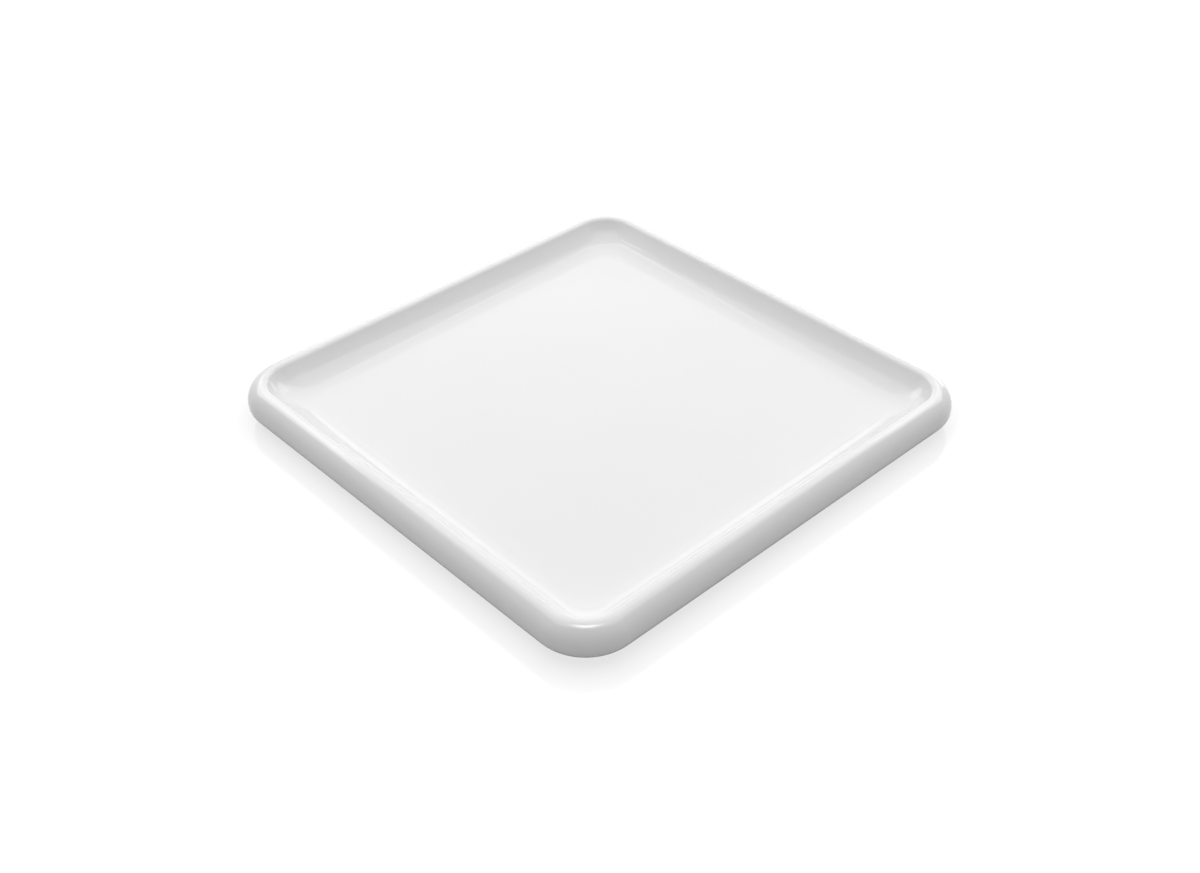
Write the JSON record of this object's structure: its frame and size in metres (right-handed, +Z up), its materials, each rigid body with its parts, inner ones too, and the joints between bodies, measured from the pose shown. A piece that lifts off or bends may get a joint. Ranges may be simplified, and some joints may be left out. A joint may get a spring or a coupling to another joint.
{
  "type": "serving plate",
  "caption": "Square serving plate with rounded corners, a thick rolled rim, a sunken flat floor with a coved edge, and a foot ring underneath.",
  "frame": {"origin": "centre of the foot ring, on the plane that the plate rests on", "axes": "+Z up, out of the well; +X and +Y square to two neighbouring sides"},
  "size_m": [0.26, 0.26, 0.0202],
  "materials": {
    "bare_porcelain": "matte, fired and unglazed",
    "glaze": "high gloss white glaze"
  },
  "bodies": {
    "root": {"porcelain_body": "bare_porcelain", "glaze_coat": "glaze", "underside_glaze": "glaze"}
  },
  "joints": []
}
